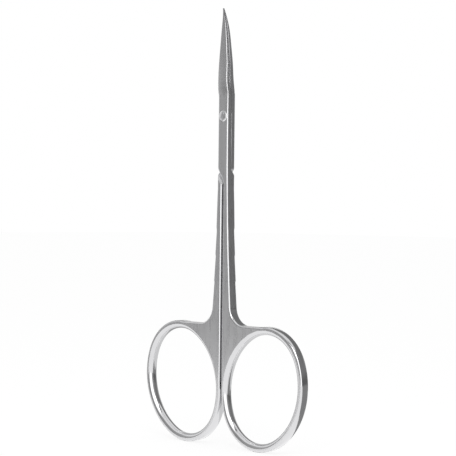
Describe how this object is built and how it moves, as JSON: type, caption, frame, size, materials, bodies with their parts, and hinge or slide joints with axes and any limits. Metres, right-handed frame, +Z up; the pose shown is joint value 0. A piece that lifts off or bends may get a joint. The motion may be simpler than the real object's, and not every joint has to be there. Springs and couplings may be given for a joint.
{
  "type": "cuticle scissors",
  "caption": "Small steel scissors with slim curved blades crossing at a slotted pivot screw, straight slender shanks and large leaning oval finger rings, for trimming cuticles.",
  "frame": {"origin": "midway between the two finger rings, on the plane where the two halves meet", "axes": "+Z up from the finger rings to the blade tips, +X to the right seen from the front, the front with the screw head faces -Y"},
  "size_m": [0.0546, 0.0031, 0.1081],
  "materials": {
    "satin_steel": "fine ground and polished stainless steel",
    "screw_steel": "polished stainless steel"
  },
  "bodies": {
    "front": {"front_half": "satin_steel"},
    "rear": {"rear_half": "satin_steel", "pivot_screw": "screw_steel"}
  },
  "joints": [
    {"name": "blade_pivot", "type": "hinge", "parent": "front", "child": "rear", "pos_m": [0, 0, 0.06643], "axis": [0, 1, 0], "range_deg": [0, 60]}
  ]
}
